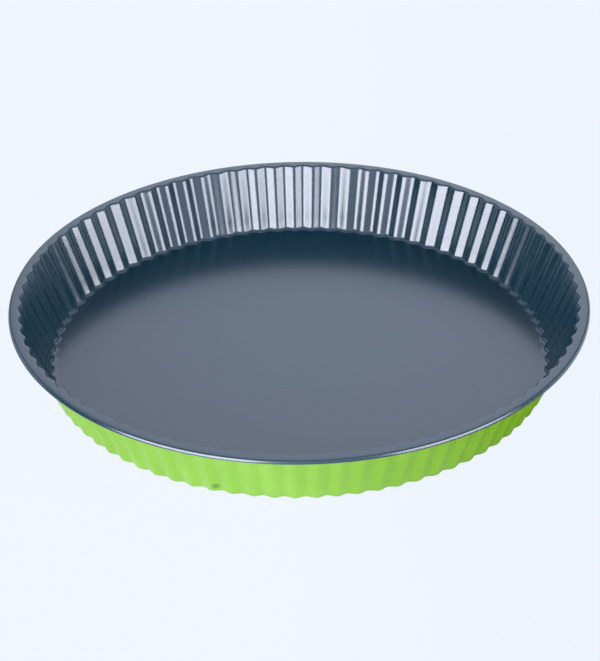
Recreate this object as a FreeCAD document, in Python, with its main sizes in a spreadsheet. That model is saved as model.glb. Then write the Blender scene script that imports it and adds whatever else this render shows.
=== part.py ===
import FreeCAD, Part
import math
import os
import Sketcher

# Round fluted cake tin, pressed from one sheet of steel: a flat floor, a sloping wall of
# rounded flutes, a narrow flat flange, and an edge turned down into a lip.
# The origin is the middle of the underside, and the mouth faces +Z. Lengths are in mm.

os.makedirs("parts", exist_ok=True)
doc = FreeCAD.newDocument("cake_tin")

# Each size that can be set by itself: its name, its value, and what it measures.
SIZES = (
    ("overall_height", 33.1, "from the underside to the top of the flange"),
    ("floor_diameter", 243.0, "inside the wall at the floor, midway between crest and valley"),
    ("wall_flare", 13.0, "how much further out the wall stands at the flange than at the floor"),
    ("flange_width", 5.5, "from the wall's inside, midway between crest and valley, to the lip's edge"),
    ("sheet", 0.6, "thickness of the steel, the same all over"),
    ("flute_count", 82, "flutes round the wall"),
    ("flute_depth", 1.45, "from the crest of a flute to the valley beside it, along the radius"),
    ("bend_share", 0.75, "bend of each crest and valley, 1 being so wide that no straight flank is left"),
    ("lip_drop", 1.8, "height of the lip, from the top of the flange down to its edge"),
    ("lip_lean", 0.9, "how much further out the lip's edge stands than the corner it turns down from"),
    ("lip_bevel", 0.5, "set-back of the eased edge where the flange turns down"),
    ("root_width", 8.0, "strip of floor that each flute carries, as far as the plain floor disc"),
)


def make_sizes():
    sheet = doc.addObject("Spreadsheet::Sheet", "sizes")
    for row, (alias, value, note) in enumerate(SIZES, start=1):
        sheet.set(f"A{row}", note)
        sheet.set(f"B{row}", str(value))
        sheet.setAlias(f"B{row}", alias)
    doc.recompute()
    return sheet


sizes = make_sizes()
body = doc.addObject("PartDesign::Body", "fluted_tin")
body.Label = "fluted_tin"

# Formulas shared by the sketches, written with the names in the sheet.
HALF_FLUTE = "180 deg / sizes.flute_count"
SLOPE = "(sizes.wall_flare / (sizes.overall_height - sizes.sheet))"
# The sheet is thicker along the radius than across, because the wall leans.
WALL_ACROSS = f"(sizes.sheet * sqrt(1 + {SLOPE}^2))"
FLOOR_INSIDE = "(sizes.floor_diameter / 2)"
MOUTH_INSIDE = f"({FLOOR_INSIDE} + sizes.wall_flare)"
RIM = f"({MOUTH_INSIDE} + sizes.flange_width)"
FLOOR_OUTSIDE = f"({FLOOR_INSIDE} - {SLOPE} * sizes.sheet + {WALL_ACROSS})"
MOUTH_OUTSIDE = f"({MOUTH_INSIDE} + {WALL_ACROSS})"
HUB = f"({FLOOR_INSIDE} - sizes.root_width)"
HUB_INSIDE = f"({HUB} - sizes.sheet)"
FLOOR_DISC = f"({HUB} + sizes.root_width / 2)"
# Outside the crests, the flange is one plain ring that laps the strip which the flutes carry.
FLANGE_START = f"({MOUTH_INSIDE} - sizes.flute_depth)"
FLANGE_RING = f"({MOUTH_OUTSIDE} + sizes.flute_depth / 2)"
FLANGE_JOIN = f"({FLANGE_RING} + sizes.sheet)"
LIP_SLOPE = "(sizes.lip_lean / sizes.lip_drop)"
LIP_ACROSS = f"(sizes.sheet * sqrt(1 + {LIP_SLOPE}^2))"
BEVEL_ACROSS = f"(sizes.lip_bevel * (1 + {LIP_SLOPE}))"
LEAN_BELOW_BEVEL = f"({LIP_SLOPE} * (sizes.lip_drop - sizes.lip_bevel))"


def value_of(formula):
    """The number that a formula of the sheet's names has now."""
    return float(sizes.evalExpression(formula))


def flat_point(x, y):
    return FreeCAD.Vector(x, y, 0)


def line(start, end):
    return Part.LineSegment(start, end)


def circle_at(centre, radius):
    return Part.Circle(centre, FreeCAD.Vector(0, 0, 1), radius)


def on_side(radius, side):
    """The point at a radius on one side of a flute's sector: side 1 is left of +X, -1 right."""
    half = math.radians(value_of(HALF_FLUTE))
    return flat_point(radius * math.cos(half), side * radius * math.sin(half))


def origin_plane(role):
    return next(plane for plane in body.Origin.OriginFeatures if plane.Role == role)


def new_sketch(name, role, height=None):
    sketch = body.newObject("Sketcher::SketchObject", name)
    sketch.AttachmentSupport = [(origin_plane(role), "")]
    sketch.MapMode = "FlatFace"
    if height:
        sketch.setExpression("AttachmentOffset.Base.z", height)
    return sketch


def bind(sketch, kind, places, name, formula):
    """Adds a dimension to a sketch and ties it to a formula of the sheet."""
    index = sketch.addConstraint(Sketcher.Constraint(kind, *places, value_of(formula)))
    sketch.renameConstraint(index, name)
    sketch.setExpression(f"Constraints.{name}", formula)


def flute_sector(name, height, outside, inset, hub):
    """One flute's slice of the tin at a height, as a closed outline round a crest on the X axis.

    outside is the mean radius of the outer face there, and inset is how far inside that face
    the outline lies. The crest and the two half valleys are arcs, joined by straight flanks
    that touch both.
    """
    crest = f"({outside} - {inset} + sizes.flute_depth / 2)"
    valley = f"({outside} - {inset} - sizes.flute_depth / 2)"
    half_pitch = f"(pi * {outside} / sizes.flute_count)"
    # The bend that would leave no flank in a wave of this pitch and depth.
    widest_bend = f"(({half_pitch}^2 + sizes.flute_depth^2) / (4 * sizes.flute_depth))"
    crest_bend = f"(sizes.bend_share * {widest_bend} + {WALL_ACROSS} / 2 - {inset})"
    valley_bend = f"(sizes.bend_share * {widest_bend} - {WALL_ACROSS} / 2 + {inset})"

    half = math.radians(value_of(HALF_FLUTE))
    low, crest_radius, valley_radius = value_of(valley), value_of(crest_bend), value_of(valley_bend)
    centre, far = value_of(crest) - crest_radius, low + valley_radius
    along, aside = far * math.cos(half) - centre, far * math.sin(half)
    # The flank crosses the line between the two centres, and each arc turns as far as it.
    turn = math.atan2(aside, along) - math.acos((crest_radius + valley_radius) / math.hypot(along, aside))
    hub_radius = value_of(hub)

    def valley_arc(side, start, end):
        return Part.ArcOfCircle(circle_at(on_side(far, side), valley_radius), start, end)

    def flank(side):
        """The flank's ends, at the crest's arc and at the valley's."""
        outward = flat_point(math.cos(turn), side * math.sin(turn))
        return flat_point(centre, 0) + outward * crest_radius, on_side(far, side) - outward * valley_radius

    sketch = new_sketch(name, "XY_Plane", height)
    first_side = sketch.addGeometry(line(on_side(hub_radius, -1), on_side(low, -1)))
    first_valley = sketch.addGeometry(valley_arc(-1, math.pi - turn, math.pi - half))
    first_flank = sketch.addGeometry(line(*reversed(flank(-1))))
    crown_circle = circle_at(flat_point(centre, 0), crest_radius)
    crown = sketch.addGeometry(Part.ArcOfCircle(crown_circle, -turn, turn))
    last_flank = sketch.addGeometry(line(*flank(1)))
    last_valley = sketch.addGeometry(valley_arc(1, math.pi + half, math.pi + turn))
    last_side = sketch.addGeometry(line(on_side(low, 1), on_side(hub_radius, 1)))
    inner_side = sketch.addGeometry(line(on_side(hub_radius, 1), on_side(hub_radius, -1)))
    sketch.addConstraint([
        Sketcher.Constraint("Coincident", first_side, 2, first_valley, 2),
        Sketcher.Constraint("Tangent", first_valley, 1, first_flank, 1),
        Sketcher.Constraint("Tangent", first_flank, 2, crown, 1),
        Sketcher.Constraint("Tangent", crown, 2, last_flank, 1),
        Sketcher.Constraint("Tangent", last_flank, 2, last_valley, 2),
        Sketcher.Constraint("Equal", first_valley, last_valley),
        Sketcher.Constraint("Coincident", last_valley, 1, last_side, 1),
        Sketcher.Constraint("Coincident", last_side, 2, inner_side, 1),
        Sketcher.Constraint("Coincident", inner_side, 2, first_side, 1),
        Sketcher.Constraint("PointOnObject", -1, 1, last_side),
        Sketcher.Constraint("PointOnObject", crown, 3, -1),
        Sketcher.Constraint("PointOnObject", first_valley, 3, first_side),
        Sketcher.Constraint("PointOnObject", last_valley, 3, last_side),
        Sketcher.Constraint("Symmetric", first_side, 2, last_side, 1, -1),
        Sketcher.Constraint("Symmetric", first_side, 1, last_side, 2, -1),
    ])
    bind(sketch, "DistanceX", (-1, 1, last_side, 1), "valley_along", f"{valley} * cos({HALF_FLUTE})")
    bind(sketch, "DistanceY", (-1, 1, last_side, 1), "valley_aside", f"{valley} * sin({HALF_FLUTE})")
    bind(sketch, "DistanceX", (-1, 1, last_side, 2), "hub_along", f"{hub} * cos({HALF_FLUTE})")
    bind(sketch, "DistanceX", (-1, 1, crown, 3), "crest_centre", f"{crest} - {crest_bend}")
    bind(sketch, "Radius", (crown,), "crest_bend", crest_bend)
    bind(sketch, "Radius", (last_valley,), "valley_bend", valley_bend)
    return sketch


def loft(kind, name, low, high):
    feature = body.newObject(f"PartDesign::{kind}", name)
    feature.Profile = low
    feature.Sections = [high]
    feature.Ruled = True


def build_flange_strip():
    """The strip of flange that one flute carries, from inside its valleys to the flange ring."""
    half = math.radians(value_of(HALF_FLUTE))
    inner, outer = value_of(FLANGE_START), value_of(FLANGE_JOIN)
    sketch = new_sketch("flange_strip", "XY_Plane", "sizes.overall_height - sizes.sheet")
    last_side = sketch.addGeometry(line(on_side(inner, 1), on_side(outer, 1)))
    first_side = sketch.addGeometry(line(on_side(outer, -1), on_side(inner, -1)))
    start = sketch.addGeometry(line(on_side(inner, -1), on_side(inner, 1)))
    edge = sketch.addGeometry(Part.ArcOfCircle(circle_at(flat_point(0, 0), outer), -half, half))
    sketch.addConstraint([
        Sketcher.Constraint("Coincident", edge, 3, -1, 1),
        Sketcher.Constraint("Coincident", last_side, 2, edge, 2),
        Sketcher.Constraint("Coincident", edge, 1, first_side, 1),
        Sketcher.Constraint("Coincident", first_side, 2, start, 1),
        Sketcher.Constraint("Coincident", start, 2, last_side, 1),
        Sketcher.Constraint("PointOnObject", -1, 1, last_side),
        Sketcher.Constraint("Symmetric", edge, 1, edge, 2, -1),
        Sketcher.Constraint("Symmetric", first_side, 2, last_side, 1, -1),
    ])
    bind(sketch, "Radius", (edge,), "join_radius", FLANGE_JOIN)
    bind(sketch, "DistanceX", (-1, 1, last_side, 1), "start_along", f"{FLANGE_START} * cos({HALF_FLUTE})")
    bind(sketch, "DistanceY", (-1, 1, last_side, 2), "join_aside", f"{FLANGE_JOIN} * sin({HALF_FLUTE})")
    strip = body.newObject("PartDesign::Pad", "flange_near_wall")
    strip.Profile = sketch
    strip.setExpression("Length", "sizes.sheet")


def build_flute():
    """One whole flute: its slice of the floor's edge, the wall and the flange's inner edge."""
    top = "sizes.overall_height"
    outer_foot = flute_sector("outer_foot", "0", FLOOR_OUTSIDE, "0", HUB)
    outer_mouth = flute_sector("outer_mouth", top, MOUTH_OUTSIDE, "0", HUB)
    loft("AdditiveLoft", "wall_outside", outer_foot, outer_mouth)
    build_flange_strip()
    floor_wall = f"({FLOOR_INSIDE} + {WALL_ACROSS})"
    inner_foot = flute_sector("inner_foot", "sizes.sheet", floor_wall, WALL_ACROSS, HUB_INSIDE)
    inner_mouth = flute_sector("inner_mouth", top, MOUTH_OUTSIDE, WALL_ACROSS, HUB_INSIDE)
    loft("SubtractiveLoft", "wall_inside", inner_foot, inner_mouth)


def repeat_flutes():
    ring = body.newObject("PartDesign::PolarPattern", "flutes")
    ring.TransformMode = "Whole shape"
    ring.Axis = (next(axis for axis in body.Origin.OriginFeatures if axis.Role == "Z_Axis"), [""])
    ring.Angle = 360
    ring.setExpression("Occurrences", "sizes.flute_count")
    body.Tip = ring
    doc.recompute()


def build_floor():
    """The plain middle of the floor, lapping the strips that the flutes carry."""
    sketch = new_sketch("floor_outline", "XY_Plane")
    outline = sketch.addGeometry(circle_at(flat_point(0, 0), value_of(FLOOR_DISC)))
    sketch.addConstraint(Sketcher.Constraint("Coincident", outline, 3, -1, 1))
    bind(sketch, "Radius", (outline,), "disc_radius", FLOOR_DISC)
    disc = body.newObject("PartDesign::Pad", "floor")
    disc.Profile = sketch
    disc.setExpression("Length", "sizes.sheet")


def build_lip():
    """The outer part of the flange and the lip that it turns down into, as one turned section.

    The lip leans outward as it goes down, and its two faces are one sheet apart.
    """
    start, rim, top = value_of(FLANGE_RING), value_of(RIM), value_of("sizes.overall_height")
    sheet, bevel, drop = value_of("sizes.sheet"), value_of("sizes.lip_bevel"), value_of("sizes.lip_drop")
    slope, across = value_of(LIP_SLOPE), value_of(LIP_ACROSS)
    lip_start = rim - value_of(LEAN_BELOW_BEVEL)
    corners = [
        (start, top - sheet), (start, top), (lip_start - value_of(BEVEL_ACROSS), top),
        (lip_start, top - bevel), (rim, top - drop), (rim - across, top - drop),
        (rim - across - slope * (drop - sheet), top - sheet),
    ]
    points = [flat_point(radius, level) for radius, level in corners]
    sketch = new_sketch("lip_section", "XZ_Plane")
    sides = [sketch.addGeometry(line(a, b)) for a, b in zip(points, points[1:] + points[:1])]
    ring_start, flange_top, eased_edge, lip_outside, lip_edge, lip_inside, flange_under = sides
    for side, following in zip(sides, sides[1:] + sides[:1]):
        sketch.addConstraint(Sketcher.Constraint("Coincident", side, 2, following, 1))
    sketch.addConstraint(Sketcher.Constraint("Vertical", ring_start))
    sketch.addConstraint(Sketcher.Constraint("Parallel", lip_outside, lip_inside))
    for level in (flange_top, lip_edge, flange_under):
        sketch.addConstraint(Sketcher.Constraint("Horizontal", level))
    bind(sketch, "DistanceX", (-1, 1, ring_start, 1), "ring_start", FLANGE_RING)
    bind(sketch, "DistanceY", (-1, 1, flange_top, 1), "flange_level", "sizes.overall_height")
    bind(sketch, "DistanceX", (-1, 1, lip_outside, 2), "rim_radius", RIM)
    bind(sketch, "DistanceY", (-1, 1, lip_outside, 2), "lip_level", "sizes.overall_height - sizes.lip_drop")
    bind(sketch, "DistanceX", (eased_edge, 1, eased_edge, 2), "bevel_across", BEVEL_ACROSS)
    bind(sketch, "DistanceX", (lip_outside, 1, lip_outside, 2), "lean_below_bevel", LEAN_BELOW_BEVEL)
    bind(sketch, "DistanceY", (eased_edge, 2, eased_edge, 1), "bevel_down", "sizes.lip_bevel")
    bind(sketch, "DistanceX", (lip_edge, 2, lip_edge, 1), "lip_thickness", LIP_ACROSS)
    bind(sketch, "DistanceY", (ring_start, 1, ring_start, 2), "flange_thickness", "sizes.sheet")
    lip = body.newObject("PartDesign::Revolution", "flange_and_lip")
    lip.Profile = sketch
    lip.ReferenceAxis = (sketch, ["V_Axis"])
    lip.Angle = 360


def check_and_export():
    doc.recompute()
    for item in doc.Objects:
        if "Invalid" in item.State or "Error" in item.State:
            raise RuntimeError(f"{item.Name} did not build: {item.State}")
    shape = body.Shape
    if shape.isNull() or not shape.isValid() or len(shape.Solids) != 1:
        raise RuntimeError("the tin is not one valid solid")
    shape.exportStep(f"parts/{body.Label}.step")
    box = shape.BoundBox
    print(f"{body.Label}: {len(shape.Faces)} faces, volume {shape.Volume:.1f} mm3")
    print(f"{box.XLength:.2f} by {box.YLength:.2f} mm, from {box.ZMin:.2f} up to {box.ZMax:.2f} mm")


build_flute()
repeat_flutes()
build_floor()
build_lip()
check_and_export()
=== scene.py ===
import math

import bpy
import numpy as np
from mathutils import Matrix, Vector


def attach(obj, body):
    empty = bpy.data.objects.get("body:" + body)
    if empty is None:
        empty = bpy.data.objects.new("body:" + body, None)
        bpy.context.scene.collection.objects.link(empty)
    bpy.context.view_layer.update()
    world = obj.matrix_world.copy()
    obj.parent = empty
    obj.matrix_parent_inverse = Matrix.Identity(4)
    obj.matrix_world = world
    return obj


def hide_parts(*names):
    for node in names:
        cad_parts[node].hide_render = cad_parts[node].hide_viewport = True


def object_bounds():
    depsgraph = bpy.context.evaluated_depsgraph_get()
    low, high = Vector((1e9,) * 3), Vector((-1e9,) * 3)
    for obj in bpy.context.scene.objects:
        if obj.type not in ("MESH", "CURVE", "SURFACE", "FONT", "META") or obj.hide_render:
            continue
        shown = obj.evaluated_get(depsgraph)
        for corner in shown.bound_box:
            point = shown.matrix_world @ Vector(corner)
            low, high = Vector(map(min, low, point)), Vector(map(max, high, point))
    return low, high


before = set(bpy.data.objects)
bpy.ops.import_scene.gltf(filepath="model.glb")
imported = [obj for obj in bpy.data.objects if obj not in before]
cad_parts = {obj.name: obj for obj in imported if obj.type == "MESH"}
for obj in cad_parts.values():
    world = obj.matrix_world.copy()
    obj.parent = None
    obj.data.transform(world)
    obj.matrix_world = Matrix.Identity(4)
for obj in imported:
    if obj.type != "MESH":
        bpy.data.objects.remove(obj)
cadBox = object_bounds()


def srgb(red, green, blue):
    # a colour as a picture shows it, 0 to 255, turned into the light values that the shader takes
    shown = np.array([red, green, blue]) / 255.0
    light = np.where(shown > 0.04045, ((shown + 0.055) / 1.055) ** 2.4, shown / 12.92)
    return (*light.tolist(), 1.0)


# The tin: one pressed sheet. Lengths are in metres, angles in degrees.
tin = {
    "sheet": 0.0006,
    "flutes": 82,
    "fluteDepth": 0.00145,
    "bendShare": 0.75,          # bend of crest and valley, 1 being so wide that no flank is left
    "floorRadius": 0.1215,      # inside the wall at the floor, midway between crest and valley
    "mouthRadius": 0.1345,      # the same at the flange
    "lipDrop": 0.0018,
    "lipLean": 0.0009,          # how much further out the lip's edge stands than its bend
    "floorBend": 0.0026,        # bends of the middle of the sheet
    "mouthBend": 0.0011,
    "lipBend": 0.0008,
    "stepsPerArc": 4,           # across each crest and each valley
    "stepsPerFlank": 2,
    "stepsPerBend": 7,
    "stepsUpWall": 5,
    "stepsRoundEdge": 5,
    "plainRings": (0.020, 0.060, 0.095, 0.112, 0.118),      # radii on the flat of the floor
}
rimRadius = cadBox[1].x
topHeight = cadBox[1].z


def fluteWave():
    # One flute, as turns from its crest, height of the wave along the radius and its slope: a
    # crest arc and a valley arc of one bend, joined by straight flanks that touch both. With
    # half pitch p, depth d and bend b the flank's angle f solves p sin f + (2b - d) cos f = 2b.
    depth = tin["fluteDepth"]
    halfPitch = math.pi * (tin["floorRadius"] + tin["mouthRadius"]) / 2 / tin["flutes"]
    bend = tin["bendShare"] * (halfPitch ** 2 + depth ** 2) / (4 * depth)
    apart = math.hypot(halfPitch, 2 * bend - depth)
    flankAngle = math.asin(2 * bend / apart) - math.atan2(2 * bend - depth, halfPitch)
    arcReach = bend * math.sin(flankAngle)
    tilt = np.linspace(-flankAngle, flankAngle, tin["stepsPerArc"] + 1)
    arc = bend * np.sin(tilt)
    climb = np.linspace(0, 1, tin["stepsPerFlank"] + 1)[1:-1]
    down = arcReach + (halfPitch - 2 * arcReach) * climb
    across = np.concatenate([arc, down, halfPitch + arc, 2 * halfPitch - down[::-1]])
    fold = np.abs((across / halfPitch + 1) % 2 - 1) * halfPitch      # distance from the nearest crest
    nearCrest = np.minimum(fold, halfPitch - fold)
    rounded = depth / 2 - bend + np.sqrt(bend ** 2 - np.minimum(nearCrest, arcReach) ** 2)
    height = np.maximum(rounded - np.maximum(nearCrest - arcReach, 0) * math.tan(flankAngle), 0)
    steep = np.minimum(nearCrest, arcReach) / np.sqrt(bend ** 2 - np.minimum(nearCrest, arcReach) ** 2)
    rising = np.where((across > halfPitch) & (across < 2 * halfPitch) | (across < 0), 1.0, -1.0)
    return across / (2 * halfPitch), np.where(fold <= halfPitch / 2, height, -height), rising * steep


def sheetSection():
    # The middle of the sheet from the floor's centre to the lip's edge, as rows of
    # radius, height, heading (0 outward, 90 up) and share of the flute wave. Each corner is an
    # arc that touches both of its straight runs.
    half = tin["sheet"] / 2
    lean = math.atan2(tin["mouthRadius"] - tin["floorRadius"], topHeight - tin["sheet"])
    outset = half / math.cos(lean) - half * math.tan(lean)
    lipHeading = -math.atan2(tin["lipDrop"], tin["lipLean"])
    # the lip's edge ends in a half circle of the sheet's thickness, which is the outermost and
    # lowest of the lip; its straight run meets the flange's at lipCorner
    lipEnd = np.array([(rimRadius - half, topHeight - tin["lipDrop"] + half, lipHeading, 0.0)])
    lipCorner = rimRadius - half - (tin["lipDrop"] - 2 * half) * tin["lipLean"] / tin["lipDrop"]
    # each corner has its radius, height, heading before and after, bend and share of the wave
    upWall = math.pi / 2 - lean
    corners = (
        (tin["floorRadius"] + outset, half, 0.0, upWall, tin["floorBend"], 1.0),
        (tin["mouthRadius"] + outset, topHeight - half, upWall, 0.0, tin["mouthBend"], 1.0),
        (lipCorner, topHeight - half, 0.0, lipHeading, tin["lipBend"], 0.0),
    )
    bends = []
    for radius, height, before, after, bend, share in corners:
        touch = bend * abs(math.tan((after - before) / 2))
        side = math.copysign(1.0, after - before)
        centre = (radius - touch * math.cos(before) - side * bend * math.sin(before),
                  height - touch * math.sin(before) + side * bend * math.cos(before))
        heading = np.linspace(before, after, tin["stepsPerBend"])
        bends.append(np.stack([centre[0] + side * bend * np.sin(heading),
                               centre[1] - side * bend * np.cos(heading),
                               heading, np.full_like(heading, share)], axis=1))
    floorArc, mouthArc, lipArc = bends
    plain = np.array([(radius, half, 0.0, 0.0) for radius in tin["plainRings"]])
    climb = np.linspace(0, 1, tin["stepsUpWall"] + 2)[1:-1, None]
    wall = floorArc[-1] * (1 - climb) + mouthArc[0] * climb
    flange = np.array([(0.5 * (mouthArc[-1, 0] + lipArc[0, 0]), topHeight - half, 0.0, 0.0)])
    return np.concatenate([plain, floorArc, wall, mouthArc, flange, lipArc, lipEnd])


def makeTin():
    # The section carried round the axis: radius = section radius + share * wave(angle). The normal
    # is -sin(heading) outward, share * slope * sin(heading) round and cos(heading) up, made one
    # long. The faces of the sheet lie half its thickness either side of the middle along it, and a
    # half circle closes the lip's edge. Rows run from the floor's centre inside to its centre below.
    turns, wave, slope = fluteWave()
    count = tin["flutes"] * len(turns)
    turns = (np.arange(tin["flutes"])[:, None] + turns).reshape(-1)
    angle = 2 * math.pi * turns / tin["flutes"]
    wave, slope = np.tile(wave, tin["flutes"]), np.tile(slope, tin["flutes"])
    section = sheetSection()
    radius = section[:, 0:1] + section[:, 3:4] * wave
    height = np.repeat(section[:, 1:2], count, axis=1)
    heading = section[:, 2:3]
    outward = np.repeat(-np.sin(heading), count, axis=1)
    swing = section[:, 3:4] * slope * np.sin(heading)
    upward = np.repeat(np.cos(heading), count, axis=1)
    length = np.sqrt(outward ** 2 + swing ** 2 + upward ** 2)
    normal = np.stack([outward, swing, upward]) / length
    middle = np.stack([radius, np.zeros_like(radius), height])
    half = tin["sheet"] / 2
    inside = middle + half * normal
    outside = (middle - half * normal)[:, ::-1]
    turn = np.linspace(0, math.pi, tin["stepsRoundEdge"] + 2)[1:-1, None]
    onward = np.array([math.cos(section[-1, 2]), 0.0, math.sin(section[-1, 2])])[:, None, None]
    edge = middle[:, -1:] + half * (np.cos(turn) * normal[:, -1:] + np.sin(turn) * onward)
    rows = np.concatenate([inside, edge, outside], axis=1)
    along, across, up = rows
    x = along * np.cos(angle) - across * np.sin(angle)
    y = along * np.sin(angle) + across * np.cos(angle)
    ring = np.stack([x, y, up], axis=-1).reshape(-1, 3)
    poles = np.array([(0, 0, tin["sheet"]), (0, 0, 0)])
    points = np.concatenate([ring, poles])
    rowCount = rows.shape[1]
    row, column = np.meshgrid(np.arange(rowCount - 1), np.arange(count), indexing="ij")
    following = (column + 1) % count
    quads = np.stack([row * count + column, (row + 1) * count + column,
                      (row + 1) * count + following, row * count + following], axis=-1).reshape(-1, 4)
    first = np.arange(count)
    after = (first + 1) % count
    topPole = np.full(count, rowCount * count)
    topFan = np.stack([topPole, first, after], axis=1)
    last = (rowCount - 1) * count
    lowFan = np.stack([topPole + 1, last + after, last + first], axis=1)
    greyRows = len(section) + tin["stepsRoundEdge"]
    quadSlot = (row.reshape(-1) >= greyRows).astype(np.int32)
    slots = np.concatenate([quadSlot, np.zeros(count, np.int32), np.ones(count, np.int32)])
    return points, quads, np.concatenate([topFan, lowFan]), slots


def meshObject(name, points, quads, triangles, slots, materials):
    # the quads come first, then the triangles; slots has the number of each face's material
    mesh = bpy.data.meshes.new(name)
    mesh.vertices.add(len(points))
    mesh.vertices.foreach_set("co", points.astype(np.float32).ravel())
    corners = np.concatenate([quads.ravel(), triangles.ravel()]).astype(np.int32)
    mesh.loops.add(len(corners))
    mesh.loops.foreach_set("vertex_index", corners)
    sizes = np.concatenate([np.full(len(quads), 4), np.full(len(triangles), 3)])
    starts = np.concatenate([[0], np.cumsum(sizes)[:-1]])
    mesh.polygons.add(len(sizes))
    mesh.polygons.foreach_set("loop_start", starts.astype(np.int32))
    mesh.polygons.foreach_set("material_index", slots.astype(np.int32))
    mesh.update(calc_edges=True)
    mesh.polygons.foreach_set("use_smooth", np.ones(len(sizes), bool))
    for material in materials:
        mesh.materials.append(material)
    mesh.validate()
    piece = bpy.data.objects.new(name, mesh)
    bpy.context.scene.collection.objects.link(piece)
    return piece


def newMaterial(name):
    # a material with its nodes, its links and its surface shader
    material = bpy.data.materials.new(name)
    material.use_nodes = True
    nodes = material.node_tree.nodes
    return material, nodes, material.node_tree.links, nodes["Principled BSDF"]


def noise(nodes, links, place, scale, detail):
    # a cloudy pattern from 0 to 1 at place, finer with a larger scale
    texture = nodes.new("ShaderNodeTexNoise")
    texture.inputs["Scale"].default_value = scale
    texture.inputs["Detail"].default_value = detail
    links.new(place, texture.inputs["Vector"])
    return texture.outputs["Fac"]


def spread(nodes, links, value, low, high, toLow, toHigh):
    # maps value from low..high onto toLow..toHigh, held at both ends
    mapper = nodes.new("ShaderNodeMapRange")
    for name, number in (("From Min", low), ("From Max", high), ("To Min", toLow), ("To Max", toHigh)):
        mapper.inputs[name].default_value = number
    links.new(value, mapper.inputs["Value"])
    return mapper.outputs["Result"]


def mathNode(nodes, links, operation, first, second=0.0):
    # each operand is a socket or a number; an operation on one number leaves the second unused
    node = nodes.new("ShaderNodeMath")
    node.operation = operation
    for socket, value in zip(node.inputs, (first, second)):
        if isinstance(value, (int, float)):
            socket.default_value = value
        else:
            links.new(value, socket)
    return node.outputs[0]


def mixColours(nodes, links, share, first, second):
    # first * (1 - share) + second * share, each colour being a socket or a tuple
    mixer = nodes.new("ShaderNodeMix")
    mixer.data_type = "RGBA"
    for socket, colour in ((mixer.inputs["A"], first), (mixer.inputs["B"], second)):
        if isinstance(colour, tuple):
            socket.default_value = colour
        else:
            links.new(colour, socket)
    links.new(share, mixer.inputs["Factor"])
    return mixer.outputs["Result"]


greyCoat = {
    "body": (0.001, 0.025, 0.047, 1.0),      # dark teal under the gloss
    "cloud": (0.002, 0.029, 0.051, 1.0),
    "flake": (0.005, 0.046, 0.077, 1.0),
    "gloss": (0.79, 0.825, 1.0, 1.0),
    "index": 2.05,                           # refractive, of a lacquer full of fine metal flakes
    "flakeScale": 2000.0,
    "flakeDetail": 1.0,
    "flakeSpan": (0.5, 0.75),                # of the pattern, over which a flake's colour comes in
    "cloudScale": 60.0,
    "cloudDetail": 3.0,
    "cloudSpan": (0.3, 0.7),
    "roughness": (0.19, 0.26),
    "roughSpan": (0.25, 0.75),               # of the flake pattern
    "bump": 0.000006,
}


def makeGreyCoat():
    material, nodes, links, shader = newMaterial("greyNonStickCoat")
    place = nodes.new("ShaderNodeTexCoord").outputs["Object"]
    flakes = noise(nodes, links, place, greyCoat["flakeScale"], greyCoat["flakeDetail"])
    clouds = noise(nodes, links, place, greyCoat["cloudScale"], greyCoat["cloudDetail"])
    cloudShare = spread(nodes, links, clouds, *greyCoat["cloudSpan"], 0.0, 1.0)
    cloudy = mixColours(nodes, links, cloudShare, greyCoat["body"], greyCoat["cloud"])
    flakeShare = spread(nodes, links, flakes, *greyCoat["flakeSpan"], 0.0, 1.0)
    speckled = mixColours(nodes, links, flakeShare, cloudy, greyCoat["flake"])
    links.new(speckled, shader.inputs["Base Color"])
    rough = spread(nodes, links, flakes, *greyCoat["roughSpan"], *greyCoat["roughness"])
    links.new(rough, shader.inputs["Roughness"])
    bump = nodes.new("ShaderNodeBump")
    bump.inputs["Distance"].default_value = greyCoat["bump"]
    links.new(flakes, bump.inputs["Height"])
    links.new(bump.outputs["Normal"], shader.inputs["Normal"])
    shader.inputs["IOR"].default_value = greyCoat["index"]
    shader.inputs["Specular Tint"].default_value = greyCoat["gloss"]
    return material


greenCoat = {
    "body": (0.218, 0.462, 0.020, 1.0),
    "deep": (0.193, 0.426, 0.014, 1.0),
    "worn": (0.085, 0.240, 0.004, 1.0),
    "gloss": 0.7,
    "cloudScale": 45.0,
    "cloudDetail": 4.0,
    "cloudSpan": (0.3, 0.7),
    "roughness": (0.34, 0.42),
    "spotPlace": (-0.0305, -0.1200, 0.0045),   # a small darker spot on the front, near the foot
    "spotSize": (0.0010, 0.0024),              # where it is full and where it has ended
}


def makeGreenCoat():
    material, nodes, links, shader = newMaterial("limeGreenCoat")
    place = nodes.new("ShaderNodeTexCoord").outputs["Object"]
    clouds = noise(nodes, links, place, greenCoat["cloudScale"], greenCoat["cloudDetail"])
    cloudShare = spread(nodes, links, clouds, *greenCoat["cloudSpan"], 0.0, 1.0)
    coloured = mixColours(nodes, links, cloudShare, greenCoat["body"], greenCoat["deep"])
    away = nodes.new("ShaderNodeVectorMath")
    away.operation = "DISTANCE"
    links.new(place, away.inputs[0])
    away.inputs[1].default_value = greenCoat["spotPlace"]
    spot = spread(nodes, links, away.outputs["Value"], *greenCoat["spotSize"], 1.0, 0.0)
    links.new(mixColours(nodes, links, spot, coloured, greenCoat["worn"]), shader.inputs["Base Color"])
    rough = spread(nodes, links, clouds, *greenCoat["cloudSpan"], *greenCoat["roughness"])
    links.new(rough, shader.inputs["Roughness"])
    shader.inputs["Specular IOR Level"].default_value = greenCoat["gloss"]
    return material


print("tin")
piece = meshObject("flutedTin", *makeTin(), [makeGreyCoat(), makeGreenCoat()])
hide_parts("fluted_tin")
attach(piece, "root")

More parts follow.
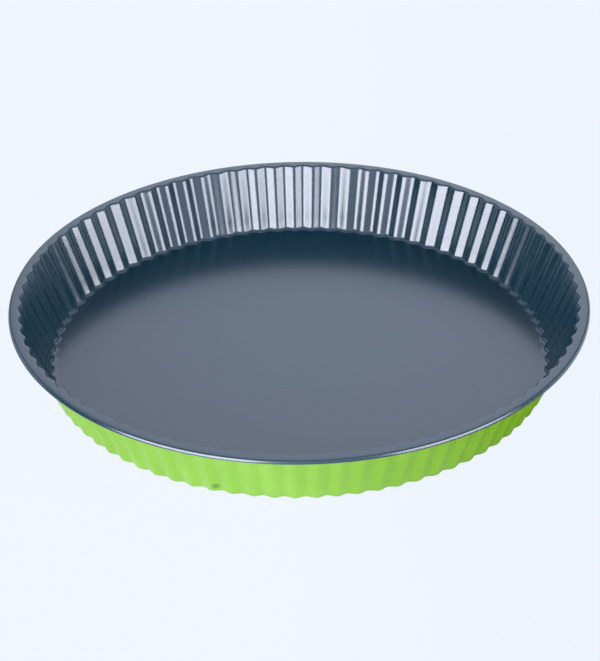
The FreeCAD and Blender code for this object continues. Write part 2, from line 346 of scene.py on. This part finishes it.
studio = {
    "backdrop": srgb(240, 246, 254),
    # painted shadow: the floor's colour where the tin's shadow falls at its right foot
    "shade": srgb(160, 165, 172),
    # the floor is open under the tin, whose underside lies in the same plane
    "floorRings": (0.119, 0.30, 4.0),
    "floorSides": 96,
    "floorRoughness": 0.9,
    "floorGlow": 0.97,
    # Across the floor, where a change begins and ends and the values there: how bright the tin mirrors
    # the floor (a painted light, brighter to the left), the tin's painted shadow at its right foot,
    # and the end of that painted shadow further out.
    "mirrorLeft": (-0.15, -0.02, 0.7, 1.2),
    "shadeStart": (0.0, 0.11, 1.0, 0.0),
    "shadeEnd": (0.15, 0.20, 0.0, 1.0),
    # the room's light on the tin, the backdrop being 1
    "behindShade": 1.34,
    "frontShade": 1.0,
    "sideShade": 0.04,
    "ceilingShade": 0.10,
    # cosines of the bearings off the back and off the front between which each lights up
    "behindEdge": (0.84, 1.0),
    "frontEdge": (0.74, 1.00),
    # What follows goes by a ray's direction, one long: across is its x, depth its y, rise its z.
    # The high light is all round, between the soft boxes and the dark part of the ceiling.
    "highShade": 1.0,
    "highEdge": (0.46, 0.62),         # rise over which it begins
    "highEnd": (0.30, 0.58),          # depth over which it ends
    "topEdge": (0.88, 0.94),          # rise above which it goes on at any depth
    # The low light is near the floor, at both sides of the back.
    "lowShade": 1.0,
    "lowEdge": (0.45, 0.60),          # rise over which it ends
    "lowEnd": (0.08, 0.30),           # depth over which it begins
    "lowSide": (0.55, 0.72),          # distance across over which it begins
    # The dark part of the ceiling bends back at both sides. Its front and back edge are depths
    # less the bow times the distance across.
    "ceilingEdge": (0.76, 0.82),      # rise over which it begins
    "ceilingFront": (-0.48, -0.41),
    "ceilingBack": (-0.07, 0.0),
    "ceilingBow": 0.5,
    "boxDistance": 1.5,
    "boxHeight": 0.46,
    "boxTarget": (0.0, 0.0, 0.02),
    # bearing round from the front in degrees, width and height, and brightness against white
    "boxes": ((-36.0, 1.47, 0.60, 8.3), (58.0, 1.30, 0.60, 6.8)),
    "boxColour": (1.0, 0.985, 0.92),
}


def makeFloor():
    # A large flat round sheet in rings of points. The picture shows it as the backdrop; the tin
    # mirrors it with a painted light, brighter towards the left, and a painted shadow at the tin's
    # right foot; and from below it is clear, so that the tin shows.
    sides, rings = studio["floorSides"], np.array(studio["floorRings"])
    turn = 2 * math.pi * np.arange(sides) / sides
    points = np.stack([rings[:, None] * np.cos(turn), rings[:, None] * np.sin(turn),
                       np.zeros((len(rings), sides))], axis=-1).reshape(-1, 3)
    ring, first = np.meshgrid(np.arange(len(rings) - 1) * sides, np.arange(sides), indexing="ij")
    after = (first + 1) % sides
    quads = np.stack([ring + first, ring + sides + first, ring + sides + after, ring + after],
                     axis=-1).reshape(-1, 4)
    material, nodes, links, shader = newMaterial("paleFloor")
    shader.inputs["Roughness"].default_value = studio["floorRoughness"]
    glow = nodes.new("ShaderNodeEmission")
    glow.inputs["Color"].default_value = studio["backdrop"]
    rays = nodes.new("ShaderNodeLightPath")
    inPicture, inMirror = rays.outputs["Is Camera Ray"], rays.outputs["Is Glossy Ray"]
    seen = mathNode(nodes, links, "MAXIMUM", inPicture, inMirror)
    place = nodes.new("ShaderNodeSeparateXYZ")
    links.new(nodes.new("ShaderNodeTexCoord").outputs["Object"], place.inputs[0])
    across = place.outputs["X"]
    # lit is 0 in the tin's painted shadow at its right foot and 1 elsewhere; it darkens the floor's
    # colour and what the tin mirrors
    lit = mathNode(nodes, links, "MAXIMUM", spread(nodes, links, across, *studio["shadeStart"]),
                   spread(nodes, links, across, *studio["shadeEnd"]))
    ground = mixColours(nodes, links, lit, studio["shade"], studio["backdrop"])
    links.new(ground, shader.inputs["Base Color"])
    # painted light: what the tin mirrors of the floor is brighter towards the left
    fromLeft = spread(nodes, links, across, *studio["mirrorLeft"])
    mirrored = mathNode(nodes, links, "MULTIPLY", fromLeft, lit)
    strength = mathNode(nodes, links, "MULTIPLY", mirrored, inMirror)
    links.new(mathNode(nodes, links, "ADD", strength, inPicture), glow.inputs["Strength"])
    blend = nodes.new("ShaderNodeMixShader")
    links.new(mathNode(nodes, links, "MULTIPLY", seen, studio["floorGlow"]), blend.inputs["Fac"])
    links.new(shader.outputs[0], blend.inputs[1])
    links.new(glow.outputs[0], blend.inputs[2])
    fromBelow = nodes.new("ShaderNodeMixShader")
    links.new(nodes.new("ShaderNodeNewGeometry").outputs["Backfacing"], fromBelow.inputs["Fac"])
    links.new(blend.outputs[0], fromBelow.inputs[1])
    links.new(nodes.new("ShaderNodeBsdfTransparent").outputs[0], fromBelow.inputs[2])
    links.new(fromBelow.outputs[0], nodes["Material Output"].inputs["Surface"])
    floor = meshObject("paleFloor", points, quads, np.zeros((0, 3), int), np.zeros(len(quads), int),
                       [material])


def makeWorld():
    # Strength 1 all round in the picture. For the tin it is walls - above * (walls - ceiling shade):
    # walls is the brightest of the light behind, in front, high and low, and above says how far
    # the ray is within the dark part of the ceiling. Facing is depth / sqrt(1 - rise * rise).
    world = bpy.data.worlds.new("studioRoom")
    bpy.context.scene.world = world
    world.use_nodes = True
    nodes, links = world.node_tree.nodes, world.node_tree.links
    background = nodes["Background"]
    background.inputs["Color"].default_value = studio["backdrop"]
    direction = nodes.new("ShaderNodeSeparateXYZ")
    links.new(nodes.new("ShaderNodeTexCoord").outputs["Generated"], direction.inputs[0])
    across, depth, rise = direction.outputs
    steep = mathNode(nodes, links, "MULTIPLY", rise, rise)
    level = mathNode(nodes, links, "SQRT", mathNode(nodes, links, "SUBTRACT", 1.0, steep))
    facing = mathNode(nodes, links, "DIVIDE", depth, level)
    forward = mathNode(nodes, links, "MULTIPLY", facing, -1.0)
    side = studio["sideShade"]
    behind = spread(nodes, links, facing, *studio["behindEdge"], side, studio["behindShade"])
    front = spread(nodes, links, forward, *studio["frontEdge"], side, studio["frontShade"])
    highBand = mathNode(nodes, links, "MULTIPLY",
                        spread(nodes, links, rise, *studio["highEdge"], 0.0, studio["highShade"]),
                        spread(nodes, links, depth, *studio["highEnd"], 1.0, 0.0))
    topCap = spread(nodes, links, rise, *studio["topEdge"], 0.0, studio["highShade"])
    high = mathNode(nodes, links, "MAXIMUM", highBand, topCap)
    aside = mathNode(nodes, links, "ABSOLUTE", across)
    lowBack = mathNode(nodes, links, "MULTIPLY",
                       spread(nodes, links, rise, *studio["lowEdge"], studio["lowShade"], 0.0),
                       spread(nodes, links, depth, *studio["lowEnd"], 0.0, 1.0))
    low = mathNode(nodes, links, "MULTIPLY", lowBack,
                   spread(nodes, links, aside, *studio["lowSide"], 0.0, 1.0))
    walls = mathNode(nodes, links, "MAXIMUM", mathNode(nodes, links, "MAXIMUM", behind, front),
                     mathNode(nodes, links, "MAXIMUM", high, low))
    bow = mathNode(nodes, links, "MULTIPLY", aside, studio["ceilingBow"])
    bowed = mathNode(nodes, links, "SUBTRACT", depth, bow)
    within = mathNode(nodes, links, "MULTIPLY",
                      spread(nodes, links, bowed, *studio["ceilingFront"], 0.0, 1.0),
                      spread(nodes, links, bowed, *studio["ceilingBack"], 1.0, 0.0))
    above = mathNode(nodes, links, "MULTIPLY", within,
                     spread(nodes, links, rise, *studio["ceilingEdge"], 0.0, 1.0))
    drop = mathNode(nodes, links, "SUBTRACT", walls, studio["ceilingShade"])
    room = mathNode(nodes, links, "SUBTRACT", walls, mathNode(nodes, links, "MULTIPLY", above, drop))
    seen = nodes.new("ShaderNodeLightPath").outputs["Is Camera Ray"]
    unseen = mathNode(nodes, links, "SUBTRACT", 1.0, seen)
    links.new(mathNode(nodes, links, "ADD", mathNode(nodes, links, "MULTIPLY", room, unseen), seen),
              background.inputs["Strength"])


def aim(thing, place, target):
    # The thing looks down its own -Z axis: it is tipped up from straight down by the angle whose
    # tangent is level distance / drop, then turned round to the target with its X axis level.
    thing.location = place
    toward = [b - a for a, b in zip(place, target)]
    flat = math.hypot(toward[0], toward[1])
    tip = math.atan2(flat, -toward[2])
    thing.rotation_euler = (tip, 0.0, math.atan2(toward[1], toward[0]) - math.pi / 2)


def makeLamps():
    # radiance of a flat lamp = power / (pi * area)
    for number, (bearing, width, height, brightness) in enumerate(studio["boxes"]):
        lamp = bpy.data.lights.new(f"softBox{number}", "AREA")
        lamp.shape = "RECTANGLE"
        lamp.size, lamp.size_y = width, height
        lamp.energy = brightness * math.pi * width * height
        lamp.color = studio["boxColour"]
        holder = bpy.data.objects.new(lamp.name, lamp)
        bpy.context.scene.collection.objects.link(holder)
        holder.visible_camera = False
        around = math.radians(bearing)
        distance = studio["boxDistance"]
        place = (distance * math.sin(around), -distance * math.cos(around), studio["boxHeight"])
        aim(holder, place, studio["boxTarget"])


print("room and lamps")
makeFloor()
makeWorld()
makeLamps()

# The camera, fitted to the photograph: a long lens that looks down at the middle of the rim.
camera = {
    "target": (0.0, 0.0, 0.0331),
    "distance": 0.9434,
    "elevation": 30.80,
    "bearing": 3.50,                  # degrees round from the front, which puts a crest in the middle
    "roll": -0.740,
    "focalPixels": 1946.4,
    "frame": (600, 661),
    "targetPixel": (298.90, 292.09),
    "sensorWidth": 36.0,
    "nearest": 0.01,
}


def makeCamera():
    # Lens = focal pixels / picture width * sensor width. The shifts move the target from the
    # middle of the picture to its own pixel, as shares of the picture's width.
    data = bpy.data.cameras.new("camera")
    data.sensor_fit = "HORIZONTAL"
    data.sensor_width = camera["sensorWidth"]
    width, height = camera["frame"]
    data.lens = camera["focalPixels"] / width * data.sensor_width
    data.shift_x = (width / 2 - camera["targetPixel"][0]) / width
    data.shift_y = (camera["targetPixel"][1] - height / 2) / width
    data.clip_start = camera["nearest"]
    holder = bpy.data.objects.new("camera", data)
    bpy.context.scene.collection.objects.link(holder)
    rise, around = math.radians(camera["elevation"]), math.radians(camera["bearing"])
    flat = camera["distance"] * math.cos(rise)
    place = (flat * math.sin(around), -flat * math.cos(around),
             camera["target"][2] + camera["distance"] * math.sin(rise))
    aim(holder, place, camera["target"])
    holder.rotation_euler.rotate_axis("Z", math.radians(camera["roll"]))
    bpy.context.scene.camera = holder


print("camera")
makeCamera()
bpy.context.scene.view_settings.view_transform = "Standard"
